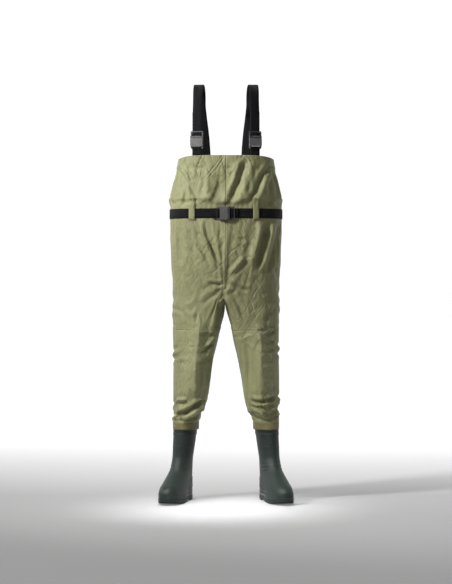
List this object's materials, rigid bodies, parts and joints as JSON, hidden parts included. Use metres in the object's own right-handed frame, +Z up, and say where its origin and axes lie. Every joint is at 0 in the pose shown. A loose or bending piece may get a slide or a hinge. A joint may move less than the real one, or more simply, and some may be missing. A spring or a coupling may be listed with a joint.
{
  "type": "chest waders",
  "caption": "Chest-high waterproof fabric waders with bonded rubber boots, webbing braces and waist belt, and side-release buckles.",
  "frame": {"origin": "centre of the footprint on the ground, at the bottom of the bounding box", "axes": "+Z up along the wearer's height, -Y towards the wearer's front, +X towards the wearer's left"},
  "size_m": [0.5368, 0.3452, 1.6514],
  "materials": {
    "coated_fabric": "matte",
    "cuff_band": "matte",
    "seam_tape": "satin",
    "webbing": "matte",
    "buckle_socket": "satin",
    "buckle_clip": "satin",
    "boot_rubber": "satin",
    "sole_rubber": "matte",
    "felt": "matte"
  },
  "bodies": {
    "root": {"body_panel_left": "coated_fabric", "body_panel_right": "coated_fabric", "seam_tape_front": "seam_tape", "seam_tape_back": "seam_tape", "belt_webbing": "webbing", "belt_loop_front_left": "coated_fabric", "belt_loop_front_right": "coated_fabric", "belt_loop_back_left": "coated_fabric", "belt_loop_back_right": "coated_fabric", "belt_buckle_socket": "buckle_socket", "brace_webbing_left": "webbing", "brace_webbing_right": "webbing", "brace_tab_left": "webbing", "brace_tab_right": "webbing", "brace_buckle_socket_left": "buckle_socket", "brace_buckle_socket_right": "buckle_socket"},
    "belt_clip": {"belt_buckle_clip": "buckle_clip"},
    "belt_prong_upper": {"belt_buckle_prong_upper": "buckle_clip"},
    "belt_prong_lower": {"belt_buckle_prong_lower": "buckle_clip"},
    "brace_clip_left": {"brace_buckle_clip_left": "buckle_clip", "brace_front_run_left": "webbing"},
    "brace_prong_outer_left": {"brace_buckle_prong_outer_left": "buckle_clip"},
    "brace_prong_inner_left": {"brace_buckle_prong_inner_left": "buckle_clip"},
    "thigh_left": {"crotch_fold_left": "coated_fabric", "thigh_panel_left": "coated_fabric", "knee_fold_left": "coated_fabric"},
    "shin_left": {"shin_panel_left": "coated_fabric", "ankle_cuff_left": "cuff_band", "boot_upper_left": "boot_rubber", "outsole_left": "sole_rubber", "insole_left": "felt"},
    "brace_clip_right": {"brace_buckle_clip_right": "buckle_clip", "brace_front_run_right": "webbing"},
    "brace_prong_outer_right": {"brace_buckle_prong_outer_right": "buckle_clip"},
    "brace_prong_inner_right": {"brace_buckle_prong_inner_right": "buckle_clip"},
    "thigh_right": {"crotch_fold_right": "coated_fabric", "thigh_panel_right": "coated_fabric", "knee_fold_right": "coated_fabric"},
    "shin_right": {"shin_panel_right": "coated_fabric", "ankle_cuff_right": "cuff_band", "boot_upper_right": "boot_rubber", "outsole_right": "sole_rubber", "insole_right": "felt"}
  },
  "joints": [
    {"name": "belt_buckle_release", "type": "slide", "parent": "root", "child": "belt_clip", "axis": [1, 0, 0], "range_m": [0, 0.03], "deforming": ["belt_webbing", "belt_buckle_prong_upper", "belt_buckle_prong_lower"]},
    {"name": "belt_prong_lower_squeeze", "type": "hinge", "parent": "belt_clip", "child": "belt_prong_lower", "pos_m": [0.0054, -0.13, 1.1245], "axis": [0, 1, 0], "range_deg": [0, 7], "stiffness_Nm_per_rad": 0.5},
    {"name": "belt_prong_upper_squeeze", "type": "hinge", "parent": "belt_clip", "child": "belt_prong_upper", "pos_m": [0.0054, -0.13, 1.1575], "axis": [0, -1, 0], "range_deg": [0, 7], "stiffness_Nm_per_rad": 0.5},
    {"name": "brace_buckle_release_left", "type": "slide", "parent": "root", "child": "brace_clip_left", "axis": [0, 0, 1], "range_m": [0, 0.03], "deforming": ["brace_front_run_left", "brace_buckle_prong_outer_left", "brace_buckle_prong_inner_left"]},
    {"name": "brace_prong_outer_squeeze_left", "type": "hinge", "parent": "brace_clip_left", "child": "brace_prong_outer_left", "pos_m": [0.1315, -0.0845, 1.4356], "axis": [-0.2772, 0.9608, 0], "range_deg": [0, 7], "stiffness_Nm_per_rad": 0.5},
    {"name": "brace_prong_inner_squeeze_left", "type": "hinge", "parent": "brace_clip_left", "child": "brace_prong_inner_left", "pos_m": [0.0998, -0.0936, 1.4356], "axis": [0.2772, -0.9608, 0], "range_deg": [0, 7], "stiffness_Nm_per_rad": 0.5},
    {"name": "brace_buckle_release_right", "type": "slide", "parent": "root", "child": "brace_clip_right", "axis": [0, 0, 1], "range_m": [0, 0.03], "deforming": ["brace_front_run_right", "brace_buckle_prong_outer_right", "brace_buckle_prong_inner_right"]},
    {"name": "brace_prong_outer_squeeze_right", "type": "hinge", "parent": "brace_clip_right", "child": "brace_prong_outer_right", "pos_m": [-0.1315, -0.0845, 1.4356], "axis": [-0.2772, -0.9608, 0], "range_deg": [0, 7], "stiffness_Nm_per_rad": 0.5},
    {"name": "brace_prong_inner_squeeze_right", "type": "hinge", "parent": "brace_clip_right", "child": "brace_prong_inner_right", "pos_m": [-0.0998, -0.0936, 1.4356], "axis": [0.2772, 0.9608, 0], "range_deg": [0, 7], "stiffness_Nm_per_rad": 0.5},
    {"name": "hip_left", "type": "hinge", "parent": "root", "child": "thigh_left", "pos_m": [0.11, 0.0246, 0.76], "axis": [-1, 0, 0], "range_deg": [-15, 40], "deforming": ["crotch_fold_left"]},
    {"name": "knee_left", "type": "hinge", "parent": "thigh_left", "child": "shin_left", "pos_m": [0.133, 0.0236, 0.51], "axis": [1, 0, 0], "range_deg": [0, 70], "deforming": ["knee_fold_left"]},
    {"name": "hip_right", "type": "hinge", "parent": "root", "child": "thigh_right", "pos_m": [-0.11, 0.0246, 0.76], "axis": [-1, 0, 0], "range_deg": [-15, 40], "deforming": ["crotch_fold_right"]},
    {"name": "knee_right", "type": "hinge", "parent": "thigh_right", "child": "shin_right", "pos_m": [-0.133, 0.0236, 0.51], "axis": [1, 0, 0], "range_deg": [0, 70], "deforming": ["knee_fold_right"]}
  ]
}
